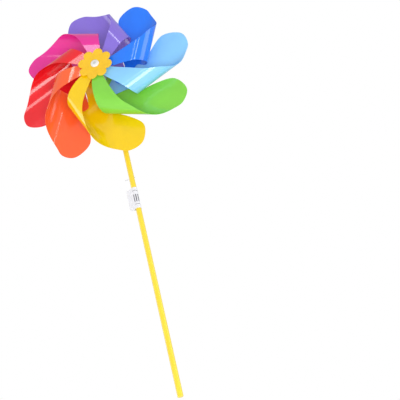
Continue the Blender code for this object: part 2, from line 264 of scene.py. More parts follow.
def turned(
    name: str, section: Array, axis: Axis, centre: Sequence[float], closed: bool = True, sides: int = 64
) -> bpy.types.Object:
    """Turns a section round an axis.

    Each point goes to radius (cos a, sin a) across the axis, at its own place along it.

    Args:
        name: Name of the piece.
        section: Points of (radius, place along the axis).
        axis: The axis's direction.
        centre: A point on the axis; its value along the axis is not used.
        closed: True for a ring's closed section, False for one that starts and ends on the axis.
        sides: Points round the axis.

    Returns:
        The new object.
    """
    angle = np.linspace(0, 2 * math.pi, sides, endpoint=False)[None, :]
    radius, along = section[:, 0][:, None], section[:, 1][:, None]
    across = [n for n in range(3) if n != axis.value]
    points = np.zeros((len(section), sides, 3))
    points[..., axis.value] = along + 0 * angle
    points[..., across[0]] = centre[across[0]] + radius * np.cos(angle)
    points[..., across[1]] = centre[across[1]] + radius * np.sin(angle)
    quads = grid_quads(len(section), sides, wrap_rows=closed, wrap_columns=True)
    return make_piece(name, points.reshape(-1, 3), quads)


def rod(
    name: str, axis: Axis, centre: Sequence[float], radius: float, ends: tuple[float, float], sides: int = 64
) -> bpy.types.Object:
    """A plain round rod, used as a cutter.

    Args:
        name: Name of the rod.
        axis: The axis's direction.
        centre: A point on the axis.
        radius: The rod's radius.
        ends: Places of its two ends along the axis.
        sides: Points round the axis.

    Returns:
        The new object.
    """
    start, end = ends
    section = np.array([(0, start), (radius, start), (radius, end), (0, end)])
    return turned(name, section, axis, centre, closed=False, sides=sides)


def combined(base: bpy.types.Object, steps: Sequence[tuple[bpy.types.Object, str]]) -> bpy.types.Object:
    """Joins solids to a base or cuts them from it, and keeps only the result.

    Args:
        base: The solid that is changed.
        steps: Pairs of another solid and UNION or DIFFERENCE.

    Returns:
        The base with its new mesh and no modifiers.
    """
    for other, operation in steps:
        modifier = base.modifiers.new(other.name, "BOOLEAN")
        modifier.operation = operation
        modifier.solver = "EXACT"
        modifier.object = other
    graph = bpy.context.evaluated_depsgraph_get()
    graph.update()
    result = bpy.data.meshes.new_from_object(base.evaluated_get(graph))
    base.modifiers.clear()
    base.data = result
    for other, _ in steps:
        bpy.data.objects.remove(other)
    result.shade_smooth()
    result.set_sharp_from_angle(angle=math.radians(SHARP_TURN))
    return base


# ------------------------------------------------------------------ finishes
class Sketch:
    """A material's node tree, with short ways to add and join nodes."""

    def __init__(self, name: str) -> None:
        """Starts a material that holds only its shader and output."""
        self.material = bpy.data.materials.new(name)
        self.material.use_nodes = True
        self.tree = self.material.node_tree
        self.shader = self.tree.nodes["Principled BSDF"]

    def add(self, kind: str, inputs: dict[Any, Any] | None = None, **settings: Any) -> bpy.types.Node:
        """Adds a node.

        Args:
            kind: Node type, without the ShaderNode prefix.
            inputs: Socket name or number to a value, or to another node's output socket.
            settings: The node's own properties.

        Returns:
            The new node.
        """
        node = self.tree.nodes.new("ShaderNode" + kind)
        for key, value in settings.items():
            setattr(node, key, value)
        for key, value in (inputs or {}).items():
            self.feed(node.inputs[key], value)
        return node

    def feed(self, socket: bpy.types.NodeSocket, value: Any) -> None:
        """Links an output socket to this input, or sets the input's value."""
        if isinstance(value, bpy.types.NodeSocket):
            self.tree.links.new(value, socket)
        else:
            socket.default_value = value

    def set(self, **values: Any) -> None:
        """Sets the shader's sockets, written with underscores for spaces."""
        for key, value in values.items():
            self.feed(self.shader.inputs[key.replace("_", " ")], value)

    def place(self, scale: Sequence[float] = (1, 1, 1), uv: str | None = None) -> bpy.types.NodeSocket:
        """Pattern coordinates: the object's own, or a named UV map, stretched by a scale."""
        if uv:
            source = self.add("UVMap", uv_map=uv).outputs["UV"]
        else:
            source = self.add("TexCoord").outputs["Object"]
        return self.add("Mapping", {"Vector": source, "Scale": scale}).outputs["Vector"]

    def noise(
        self, place: bpy.types.NodeSocket, scale: float, detail: float = 2.0, roughness: float = 0.5
    ) -> bpy.types.NodeSocket:
        """Smooth noise from 0 to 1 at a scale in cells per metre."""
        inputs = {"Vector": place, "Scale": scale, "Detail": detail, "Roughness": roughness}
        return self.add("TexNoise", inputs).outputs["Fac"]

    def remap(
        self, value: bpy.types.NodeSocket, low: float, high: float, start: float = 0.3, end: float = 0.7
    ) -> bpy.types.NodeSocket:
        """Takes the values from start to end over to those from low to high."""
        inputs = {"Value": value, "From Min": start, "From Max": end, "To Min": low, "To Max": high}
        return self.add("MapRange", inputs).outputs["Result"]

    def maths(self, operation: str, *values: Any) -> bpy.types.NodeSocket:
        """One arithmetic step on sockets or numbers."""
        return self.add("Math", dict(enumerate(values)), operation=operation).outputs["Value"]

    def blend(self, share: Any, first: Any, second: Any) -> bpy.types.NodeSocket:
        """Goes from the first colour to the second as the share goes from 0 to 1."""
        node = self.add("Mix", data_type="RGBA")
        for number, value in ((0, share), (6, first), (7, second)):
            self.feed(node.inputs[number], value)
        return node.outputs[2]

    def relief(self, layers: Sequence[tuple[bpy.types.NodeSocket, float]]) -> None:
        """Stacks bumps on the shader: each layer is a height from 0 to 1 and its depth in metres."""
        normal = None
        for height, depth in layers:
            inputs = {"Height": height, "Distance": depth, "Strength": 1.0}
            if normal is not None:
                inputs["Normal"] = normal
            normal = self.add("Bump", inputs).outputs["Normal"]
        self.feed(self.shader.inputs["Normal"], normal)


def rgba(colour: Colour, gain: float = 1.0) -> tuple[float, float, float, float]:
    """A colour with its brightness changed, as a socket takes it."""
    return tuple(min(1.0, part * gain) for part in colour) + (1.0,)


@dataclass(frozen=True)
class GlossySheet:
    """Dyed plastic sheet with faint waviness and hairline scuffs. Its outer face is polished and its inner
    face is satin, as a sheet comes off a polishing roll; the map keeps the inner face INNER_SHIFT over.
    Scales are in cells per metre and depths in metres."""

    colour: Colour
    roughness: float = 0.07
    inner_roughness: float = 0.13
    polish: float = 0.2
    cloud_scale: float = 35.0
    wave_scale: float = 28.0
    wave_depth: float = 0.00006
    scuff_scale: float = 900.0
    scuff_length: float = 14.0
    grain_scale: float = 2200.0
    grain_depth: float = 0.0000004

    def material(self, name: str) -> bpy.types.Material:
        """Makes the material. Pattern places are the flat sheet's own, in metres."""
        sketch = Sketch(name)
        place = sketch.place(uv="sheet")
        tone = sketch.remap(sketch.noise(place, self.cloud_scale, 3.0), 0.0, 1.0)
        sketch.set(Base_Color=sketch.blend(tone, rgba(self.colour, 0.95), rgba(self.colour, 1.04)))
        hairs = sketch.place((self.scuff_scale, self.scuff_scale / self.scuff_length, 1), uv="sheet")
        scuffs = sketch.noise(hairs, 1.0, 4.0, 0.6)
        across = sketch.add("SeparateXYZ", {"Vector": place}).outputs["X"]
        outer = sketch.maths("LESS_THAN", across, INNER_SHIFT / 2)
        face_roughness = sketch.remap(outer, self.inner_roughness, self.roughness, 0.0, 1.0)
        scuffing = sketch.remap(scuffs, 0.8, 1.35)
        sketch.set(Roughness=sketch.maths("MULTIPLY", face_roughness, scuffing))
        sketch.set(IOR=1.53, Coat_Weight=self.polish, Coat_Roughness=0.03, Coat_IOR=1.5)
        waves = sketch.noise(place, self.wave_scale, 1.0)
        grain = sketch.noise(place, self.grain_scale, 2.0)
        sketch.relief([(waves, self.wave_depth), (grain, self.grain_depth)])
        return sketch.material


@dataclass(frozen=True)
class MouldedPlastic:
    """Injection-moulded plastic: soft gloss, a little light let in, and a faint skin texture.
    A point on an axis along Y may be given. A round patch about it is painted darker as painted shade,
    standing in for the shade in a sunk recess such as the pin head's dimple. The patch fades out between the
    two radii of its edge."""

    colour: Colour
    roughness: float = 0.28
    painted_shade_centre: tuple[float, float, float] | None = None
    painted_shade_edge: tuple[float, float] = (0.001785, 0.00231)
    painted_shade_gain: float = 0.75
    light_depth: float = 0.0008
    cloud_scale: float = 160.0
    grain_scale: float = 2600.0
    grain_depth: float = 0.000003

    def material(self, name: str) -> bpy.types.Material:
        """Makes the material on the object's own coordinates."""
        sketch = Sketch(name)
        place = sketch.place()
        cloud = sketch.noise(place, self.cloud_scale, 3.0)
        tone = sketch.remap(cloud, 0.0, 1.0)
        colour = sketch.blend(tone, rgba(self.colour, 0.95), rgba(self.colour, 1.03))
        # Painted shade: a round patch about the given point is darkened, standing in for the shade inside a
        # recess.
        if self.painted_shade_centre is not None:
            away = sketch.add("VectorMath", {0: place, 1: self.painted_shade_centre}, operation="SUBTRACT")
            across = {0: away.outputs["Vector"], 1: (1.0, 0.0, 1.0)}
            flat = sketch.add("VectorMath", across, operation="MULTIPLY").outputs["Vector"]
            reach = sketch.add("VectorMath", {0: flat}, operation="LENGTH").outputs["Value"]
            painted_shade = sketch.remap(reach, 1.0, 0.0, *self.painted_shade_edge)
            colour = sketch.blend(painted_shade, colour, rgba(self.colour, self.painted_shade_gain))
        sketch.set(Base_Color=colour)
        grain = sketch.noise(place, self.grain_scale, 3.0, 0.6)
        sketch.set(Roughness=sketch.remap(grain, self.roughness * 0.8, self.roughness * 1.25))
        sketch.set(IOR=1.5, Subsurface_Weight=0.12, Subsurface_Scale=self.light_depth)
        sketch.set(Subsurface_Radius=(1.0, 0.6, 0.35))
        sketch.relief([(cloud, self.grain_depth * 3), (grain, self.grain_depth)])
        return sketch.material


@dataclass(frozen=True)
class ExtrudedPlastic:
    """Drawn plastic rod: faint die lines run along it, and handling has dulled it in patches."""

    colour: Colour
    roughness: float = 0.24
    line_scale: float = 2400.0
    line_squeeze: float = 0.006
    line_depth: float = 0.0000006
    patch_scale: float = 90.0
    patch_squeeze: float = 0.25
    patch_depth: float = 0.000003

    def material(self, name: str) -> bpy.types.Material:
        """Makes the material. Lines and patches are noise whose Z is squeezed, so it is drawn out along Z."""
        sketch = Sketch(name)
        lines = sketch.noise(sketch.place((1, 1, self.line_squeeze)), self.line_scale, 3.0, 0.6)
        patches = sketch.noise(sketch.place((1, 1, self.patch_squeeze)), self.patch_scale, 3.0)
        tone = sketch.remap(patches, 0.0, 1.0)
        sketch.set(Base_Color=sketch.blend(tone, rgba(self.colour, 0.98), rgba(self.colour, 1.02)))
        sketch.set(Roughness=sketch.remap(patches, self.roughness * 0.85, self.roughness * 1.3))
        sketch.set(IOR=1.5, Coat_Weight=0.15, Coat_Roughness=0.12)
        sketch.relief([(lines, self.line_depth), (patches, self.patch_depth)])
        return sketch.material


@dataclass(frozen=True)
class StickerPaper:
    """Coated white paper printed with plain dark bars, and a dashed line under and over them. Widths are
    distances round the stick in metres; heights are shares of the sticker's height."""

    colour: Colour = (0.83, 0.83, 0.87)
    ink: Colour = (0.06, 0.06, 0.08)
    bar_pitch: float = 0.0026
    bar_share: float = 0.48
    bars_start: float = -0.0022
    bars_width: float = 0.0072
    bars_height: tuple[float, float] = (0.30, 0.66)
    low_dashes: tuple[float, float] = (0.17, 0.21)
    high_dashes: tuple[float, float] = (0.82, 0.86)
    dashes_per_metre: float = 900.0
    dash_share: float = 0.55
    fibre_depth: float = 0.000008

    def window(
        self, sketch: Sketch, value: bpy.types.NodeSocket, low: float, high: float
    ) -> bpy.types.NodeSocket:
        """1 where the value lies between two limits, and 0 outside them."""
        above = sketch.maths("GREATER_THAN", value, low)
        below = sketch.maths("LESS_THAN", value, high)
        return sketch.maths("MULTIPLY", above, below)

    def material(self, name: str) -> bpy.types.Material:
        """Makes the material. Map places: distance round the stick in metres, and share of the height."""
        sketch = Sketch(name)
        split = sketch.add("SeparateXYZ", {"Vector": sketch.add("UVMap", uv_map="sheet").outputs["UV"]})
        round_stick, height = split.outputs["X"], split.outputs["Y"]
        from_start = sketch.maths("SUBTRACT", round_stick, self.bars_start)
        turns = sketch.maths("DIVIDE", from_start, self.bar_pitch)
        stripes = sketch.maths("LESS_THAN", sketch.maths("FRACT", turns), self.bar_share)
        across = self.window(sketch, round_stick, self.bars_start, self.bars_start + self.bars_width)
        tall = self.window(sketch, height, *self.bars_height)
        bars = sketch.maths("MULTIPLY", stripes, sketch.maths("MULTIPLY", across, tall))
        counted = sketch.maths("MULTIPLY", round_stick, self.dashes_per_metre)
        dash = sketch.maths("LESS_THAN", sketch.maths("FRACT", counted), self.dash_share)
        low_line = self.window(sketch, height, *self.low_dashes)
        high_line = self.window(sketch, height, *self.high_dashes)
        lines = sketch.maths("MULTIPLY", dash, sketch.maths("ADD", low_line, high_line))
        dashes = sketch.maths("MULTIPLY", across, lines)
        place = sketch.place()
        ink_fade = sketch.remap(sketch.noise(place, 1500.0, 2.0), 0.85, 1.0)
        printed = sketch.maths("MULTIPLY", sketch.maths("MAXIMUM", bars, dashes), ink_fade)
        fibres = sketch.noise(place, 1900.0, 4.0, 0.65)
        tone = sketch.remap(fibres, 0.0, 1.0)
        paper = sketch.blend(tone, rgba(self.colour, 0.96), rgba(self.colour, 1.03))
        sketch.set(Base_Color=sketch.blend(printed, paper, rgba(self.ink)))
        sketch.set(Roughness=sketch.remap(fibres, 0.32, 0.46), IOR=1.46)
        sketch.relief([(fibres, self.fibre_depth)])
        return sketch.material


@dataclass(frozen=True)
class ClearNylon:
    """Thin clear nylon: lets most light through, with a cloudy core."""

    colour: Colour = (0.72, 0.74, 0.76)
    relief_depth: float = 0.00002

    def material(self, name: str) -> bpy.types.Material:
        """Makes the material on the object's own coordinates."""
        sketch = Sketch(name)
        cloud = sketch.noise(sketch.place((0.2, 1, 1)), 900.0, 3.0)
        tone = sketch.remap(cloud, 0.0, 1.0)
        sketch.set(Base_Color=sketch.blend(tone, rgba(self.colour, 0.8), rgba(self.colour, 1.1)))
        sketch.set(Roughness=sketch.remap(cloud, 0.18, 0.34), IOR=1.53, Transmission_Weight=0.45)
        sketch.relief([(cloud, self.relief_depth)])
        return sketch.material


@dataclass(frozen=True)
class StudioPaper:
    """Matt white paper that the studio stands on, with a faint glow that keeps it pale."""

    colour: Colour = (0.92, 0.92, 0.92)
    glow: float = 0.25

    def material(self, name: str) -> bpy.types.Material:
        """Makes the material on the object's own coordinates."""
        sketch = Sketch(name)
        tooth = sketch.noise(sketch.place(), 300.0, 3.0)
        sketch.set(Base_Color=sketch.blend(tooth, rgba(self.colour, 0.99), rgba(self.colour, 1.01)))
        sketch.set(Roughness=0.9, Emission_Color=rgba(self.colour), Emission_Strength=self.glow)
        return sketch.material


WHITE: Colour = (0.82, 0.81, 0.79)
BEAD_YELLOW: Colour = (0.90, 0.62, 0.035)
FLOWER_YELLOW: Colour = (0.97, 0.58, 0.02)
STICK_YELLOW: Colour = (0.93, 0.70, 0.045)


def dress(
    obj: bpy.types.Object, material: bpy.types.Material, body: str, nodes: Sequence[str]
) -> None:
    """Gives a piece its material and its place in the assembly.

    Args:
        obj: The piece.
        material: Its finish.
        body: The moving body that carries it.
        nodes: The plain solids that it stands for.
    """
    obj.data.materials.clear()
    obj.data.materials.append(material)
    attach(obj, body)
    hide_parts(*nodes)
    LOG.info("%s: %d faces on %s", obj.name, len(obj.data.polygons), body)


# ------------------------------------------------------------------ wheel
class BladeColour(Enum):
    """Each blade, from the front of the stack to its back: its clockwise turn in eighths, and its dye."""

    GREEN = (0, (0.23, 0.67, 0.06))
    YELLOW = (1, (0.97, 0.63, 0.002))
    SKY = (7, (0.26, 0.62, 1.00))
    ORANGE = (2, (1.00, 0.13, 0.03))
    BLUE = (6, (0.01, 0.19, 0.92))
    RED = (3, (0.82, 0.01, 0.018))
    PURPLE = (5, (0.26, 0.17, 0.74))
    PINK = (4, (0.86, 0.025, 0.34))

    @property
    def node(self) -> str:
        """The plain solid's name."""
        return "blade_" + self.name.lower()


# Knots of a blade's leading edge, and the places on its trailing edge that lie across from them.
LEADING_KNOTS = (0, 1, 2, 3, 4, 6, 8, 10, 12, 13, 14, 15)
KNOTS_ACROSS = (0, 1, 2, 2.5, 3, 4.3, 5, 5.4, 6, 7, 8, 9)
# Points along the bent stretch, and the widest swing and the halvings that are tried to fit it.
BEND_STEPS = 2400
MOST_SWING = 2.4
HALVINGS = 50


@dataclass
class BladeSheet:
    """The die-cut sheet that every blade is bent from. Sizes in metres; s runs along the sheet from the
    front hole to the rear hole, and u across it, parallel to the bend lines. Next to a hole the inner line
    leaves the hole's edge at hole_share of a knot, and it has joined the middle line at joined knots."""

    span: float = 0.1375
    hub_span: float = 0.0324
    tip_radius: float = 0.0102
    tip_flat: float = 0.0120
    hole_radius: float = 0.00175
    sheet: float = 0.0003
    along_rows: int = 260
    leading_columns: int = 30
    trailing_columns: int = 14
    tip_points: int = 16
    hole_share: float = 0.5
    joined: float = 1.2
    profile: dict[str, Array] = field(default_factory=dict)

    def edge(self, side: int, shares: Sequence[tuple[float, float]]) -> Array:
        """Knots of one long edge, from the front tip to the rear tip.

        Args:
            side: 1 for the edge that leads the fold, -1 for the other.
            shares: Places (u, s) between the tips, as shares of the span.

        Returns:
            One knot per row, in metres.
        """
        tip = side * self.tip_radius
        return np.vstack([[(tip, 0.0)], np.array(shares) * self.span, [(tip, self.span)]])

    def leading_edge(self) -> Array:
        """The hollow front strip, the wide lobe and the waved rear arm."""
        shares = (
            (0.0931, 0.10), (0.2109, 0.25), (0.3236, 0.36), (0.4873, 0.46), (0.7273, 0.67),
            (0.8291, 0.77), (0.84, 0.91), (0.6982, 1.0145), (0.5236, 0.9564), (0.3891, 0.8649),
            (0.3273, 0.9085), (0.24, 0.8790), (0.1491, 0.83), (0.0691, 0.8750),
        )
        return self.edge(1, shares)

    def trailing_edge(self) -> Array:
        """The straighter edge, with its round cut-out."""
        shares = (
            (-0.0189, 0.10), (0.0291, 0.25), (0.1287, 0.50), (0.1545, 0.60),
            (0.16, 0.70), (0.05, 0.76), (-0.025, 0.7891), (-0.07, 0.8705),
        )
        return self.edge(-1, shares)

    def bend(self) -> None:
        """Works out the bent sheet's section. At share x of the bent stretch the heading is
        pi x - (swing / 2) sin 2 pi x, and the swing is found by halving, so that the tips end up
        hub_span apart."""
        share = np.linspace(0.0, 1.0, BEND_STEPS)
        length = self.span - 2 * self.tip_flat
        step = length * share[1]

        def heading(swing: float) -> Array:
            """Heading along the bent stretch, 0 outward and pi inward."""
            return math.pi * share - swing / 2 * np.sin(2 * math.pi * share)

        def total(values: Array) -> Array:
            """Running sum of a rate along the stretch."""
            return np.concatenate([[0.0], np.cumsum((values[1:] + values[:-1]) / 2) * step])

        low, high = 0.0, MOST_SWING
        for _ in range(HALVINGS):
            middle = (low + high) / 2
            too_deep = total(np.sin(heading(middle)))[-1] > self.hub_span
            low, high = (middle, high) if too_deep else (low, middle)
        turn = heading(low)
        spare = 3 * self.tip_radius
        self.profile = {
            "along": np.concatenate([[-spare], self.tip_flat + length * share, [self.span + spare]]),
            "out": np.concatenate([[-spare], self.tip_flat + total(np.cos(turn)), [-spare]]),
            "deep": np.concatenate([[0.0], total(np.sin(turn)), [self.hub_span]]),
            "turn": np.concatenate([[0.0], turn, [math.pi]]),
        }

    def half(self, side: int) -> tuple[Array, Array]:
        """One half of the flat sheet, ruled from a line through the holes' edges to the outline.

        The inner line goes round a quarter of the front hole, along the middle of the blade and round a
        quarter of the rear hole; the outer line goes round a quarter of each tip and along one edge.

        Args:
            side: 1 for the leading half, -1 for the trailing half.

        Returns:
            Places (u, s) on the flat sheet, row by row, and the cells.
        """
        lead, trail = self.leading_edge(), self.trailing_edge()
        last = len(lead) - 1
        place = np.linspace(0, last, self.along_rows)
        matched = np.interp(place, LEADING_KNOTS, KNOTS_ACROSS)
        lead_line, trail_line = spline(lead, place), spline(trail, matched)
        edge = lead_line if side > 0 else trail_line
        middle = (lead_line + trail_line) / 2
        near, far = self.hole_share, last - self.hole_share
        turn = np.interp(place, [0, near, far, last], [0, math.pi / 2, math.pi / 2, math.pi])
        across = side * self.hole_radius * np.abs(np.cos(turn))
        rise = self.hole_radius * np.sin(turn)
        hole = np.column_stack([across, np.where(place <= last / 2, rise, self.span - rise)])
        from_hole = np.minimum(place - near, far - place) / (self.joined - near)
        ease = np.clip(from_hole, 0, 1)[:, None]
        ease = ease * ease * (3 - 2 * ease)
        inner = hole * (1 - ease) + middle * ease
        quarter = np.linspace(-math.pi / 2, 0, self.tip_points)[:-1]
        arc = np.column_stack([side * np.cos(quarter), np.sin(quarter)])
        end = np.array([0.0, self.span])
        flipped = arc[::-1] * [1, -1]
        inner = np.vstack([arc * self.hole_radius, inner, flipped * self.hole_radius + end])
        outer = np.vstack([arc * self.tip_radius, edge, flipped * self.tip_radius + end])
        columns = self.leading_columns if side > 0 else self.trailing_columns
        share = np.linspace(0, 1, columns)[None, :, None]
        flat = inner[:, None] * (1 - share) + outer[:, None] * share
        quads = grid_quads(len(inner), columns)
        return flat.reshape(-1, 2), quads if side > 0 else quads[:, ::-1]

    def surface(self) -> tuple[Array, Array, Array]:
        """The bent sheet in the blade's own frame: u along +X, the fold towards -Z, depth along +Y.

        Returns:
            Points of the closed surface, its cells, and each point's place on the flat sheet.
        """
        self.bend()
        first, first_quads = self.half(1)
        second, second_quads = self.half(-1)
        flat = np.vstack([first, second])
        quads = np.vstack([first_quads, second_quads + len(first)])
        flat, quads, _ = weld(flat, quads)
        along = self.profile["along"]
        turn, deep, out = (
            np.interp(flat[:, 1], along, self.profile[key]) for key in ("turn", "deep", "out")
        )
        middle = np.column_stack([flat[:, 0], deep, -out])
        normals = np.column_stack([np.zeros(len(flat)), np.cos(turn), np.sin(turn)])
        points, cells = thicken(middle, normals, quads, self.sheet)
        return points, cells, np.vstack([flat, flat + [INNER_SHIFT, 0.0]])


# The flower's rim, from its front face to half its thickness: shares of the way out, and of the thickness.
RIM_OUT = (0.98, 0.993, 1.0, 1.0)
RIM_DEPTH = (0.02, 0.1, 0.28, 0.5)


@dataclass
class Wheel:
    """The spinning part: eight blades, the flower and the pieces threaded on the axle. Sizes in metres and
    angles in degrees. The pin clears the flower in front and the retainer behind by pin_gap, and the shares
    are of the head's height (dome_share) and of the flower's radius (valley_start)."""

    phase: float = -23.6
    bore_radius: float = 0.00175
    pin_radius: float = 0.0016
    petals: int = 8
    petal_points: int = 44
    face_rows: int = 18
    flower_radius: float = 0.0230
    petal_radius: float = 0.0066
    flower_sheet: float = 0.0008
    flower_cup: float = 0.0010
    flower_turn: float = 22.5
    valley_depth: float = 0.00035
    valley_start: float = 0.35
    dome_share: float = 0.75
    dimple_radius: float = 0.0019
    dimple_depth: float = 0.0006
    pin_gap: float = 0.0003
    barb_radius: float = 0.0022
    edge_break: float = 0.0001
    ring_round: float = 0.00025
    bead_wall: float = 0.0012
    body: str = "wheel"

    def __post_init__(self) -> None:
        """Takes the axle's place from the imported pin."""
        low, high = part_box("axle_pin")
        self.axle = ((low.x + high.x) / 2, 0.0, (low.z + high.z) / 2)

    def build_blades(self) -> None:
        """Bends one sheet and turns a copy of it to each blade's place.

        Each copy is turned about the axle by the phase less its eighths, and shifted along the axle until
        its front-most point meets that of its plain solid.
        """
        points, cells, flat = BladeSheet().surface()
        for colour in BladeColour:
            eighths, dye = colour.value
            angle = -math.radians(self.phase - eighths * 360 / len(BladeColour))
            turn = np.array(Matrix.Rotation(angle, 3, "Y"))
            shift = np.array([self.axle[0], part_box(colour.node)[0].y - points[:, 1].min(), self.axle[2]])
            name = "sheet_" + colour.name.lower()
            blade = make_piece(name, points @ turn.T + shift, cells, flat=flat)
            dress(blade, GlossySheet(dye).material(name), self.body, [colour.node])

    def build_flower(self) -> None:
        """The stamped flower: petal outline r = c cos d + sqrt(p^2 - (c sin d)^2), where d is the angle to
        the nearest petal's middle, c the distance of a petal's centre and p its radius. It is cupped as r
        squared, with a shallow valley between petals that deepens as the square of d."""
        low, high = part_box("flower")
        centre = self.flower_radius - self.petal_radius
        angle = np.linspace(0, 2 * math.pi, self.petals * self.petal_points, endpoint=False)
        step = 2 * math.pi / self.petals
        away = (angle - math.radians(self.flower_turn) + step / 2) % step - step / 2
        rim = centre * np.cos(away) + np.sqrt(self.petal_radius**2 - (centre * np.sin(away)) ** 2)
        share = np.concatenate([np.linspace(0, 0.95, self.face_rows), RIM_OUT])
        depth = np.concatenate([np.zeros(self.face_rows), RIM_DEPTH])
        share = np.concatenate([share, share[::-1][1:]])
        depth = np.concatenate([depth, 1 - depth[::-1][1:]])
        radius = self.bore_radius + (rim[None, :] - self.bore_radius) * share[:, None]
        reach = radius / self.flower_radius
        deepening = np.clip((reach - self.valley_start) / (1 - self.valley_start), 0, 1)
        valley = self.valley_depth * deepening * (np.abs(away) / (step / 2))[None, :] ** 2
        bowl = valley * reach - self.flower_cup * reach**2
        along = np.maximum(high.y - self.flower_sheet * (1 - depth[:, None]) + bowl, low.y)
        across, upward = radius * np.cos(angle), radius * np.sin(angle)
        points = np.stack([self.axle[0] + across, along, self.axle[2] + upward], axis=-1)
        quads = grid_quads(len(share), len(angle), wrap_rows=True, wrap_columns=True)
        flower = make_piece("hub_flower", points.reshape(-1, 3), quads, sharp=55)
        finish = MouldedPlastic(FLOWER_YELLOW, 0.24).material("hub_flower")
        dress(flower, finish, self.body, ["flower"])

    def build_pin(self) -> None:
        """The axle pin: a domed head with a sunk gate dimple whose inside is painted darker as shade, a
        straight shank and a pointed barb.

        From the dimple's edge to the head's edge, the dome's radius grows as sin t and its depth as
        1 - cos t. A low stub stands in the middle of the dimple.
        """
        low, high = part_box("axle_pin")
        head_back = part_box("flower")[1].y - self.flower_sheet - self.pin_gap
        crown = low.y
        head_radius = (high.x - low.x) / 2
        head_height = head_back - crown
        turn = np.linspace(0, math.pi / 2, 14)
        dome = np.column_stack([
            self.dimple_radius + (head_radius - self.dimple_radius) * np.sin(turn),
            crown + head_height * self.dome_share * (1 - np.cos(turn)),
        ])
        floor = crown + self.dimple_depth
        stub = [(0, floor - 0.00018), (0.00035, floor - 0.00016), (0.00055, floor)]
        wall = [
            (self.dimple_radius * 0.78, floor),
            (self.dimple_radius * 0.86, floor - 0.00006),
            (self.dimple_radius * 0.97, crown + 0.00008),
        ]
        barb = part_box("retainer")[1].y + self.pin_gap
        shank = [
            (head_radius, head_back - 0.00012),
            (head_radius - 0.00012, head_back),
            (self.pin_radius, head_back),
            (self.pin_radius, barb),
            (self.barb_radius - self.edge_break, barb),
            (self.barb_radius, barb + self.edge_break),
            (self.pin_radius * 0.55, high.y - self.edge_break),
            (self.pin_radius * 0.4, high.y),
            (0, high.y),
        ]
        section = np.vstack([stub, wall, dome, shank])
        pin = turned("axle_rivet", section, Axis.Y, self.axle, closed=False)
        # Painted shade: the head is painted darker in and round its dimple, about the axle.
        finish = MouldedPlastic(WHITE, 0.2, painted_shade_centre=self.axle).material("axle_rivet")
        dress(pin, finish, self.body, ["axle_pin"])

    def build_rings(self) -> None:
        """The washers, spacer tubes and retainer: rings whose edges are softened."""
        rings = {
            "front_washer": "washer_front",
            "hub_tube": "spacer_hub",
            "rear_washer": "washer_rear",
            "rear_spacer": "spacer_rear",
            "retainer": "push_nut",
        }
        finish = MouldedPlastic(WHITE, 0.3).material("white_rings")
        for node, name in rings.items():
            low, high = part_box(node)
            outer = (high.x - low.x) / 2
            corners = [
                (self.bore_radius, low.y), (outer, low.y), (outer, high.y), (self.bore_radius, high.y)
            ]
            ring = turned(name, rounded(corners, self.ring_round), Axis.Y, self.axle)
            dress(ring, finish, self.body, [node])

    def build_bead(self) -> None:
        """The bead: its radius swells as a half sine wave between its two ends."""
        low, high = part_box("bead")
        outer = (high.x - low.x) / 2
        waist = self.bore_radius + self.bead_wall
        share = np.linspace(0, 1, 25)
        swell = waist + (outer - waist) * np.sin(math.pi * share)
        barrel = np.column_stack([swell, low.y + (high.y - low.y) * share])
        section = np.vstack([[(self.bore_radius, low.y)], barrel, [(self.bore_radius, high.y)]])
        bead = turned("wear_bead", section, Axis.Y, self.axle)
        dress(bead, MouldedPlastic(BEAD_YELLOW, 0.22).material("wear_bead"), self.body, ["bead"])

    def build(self) -> None:
        """Builds and dresses every piece of the wheel."""
        self.build_blades()
        self.build_flower()
        self.build_pin()
        self.build_rings()
        self.build_bead()


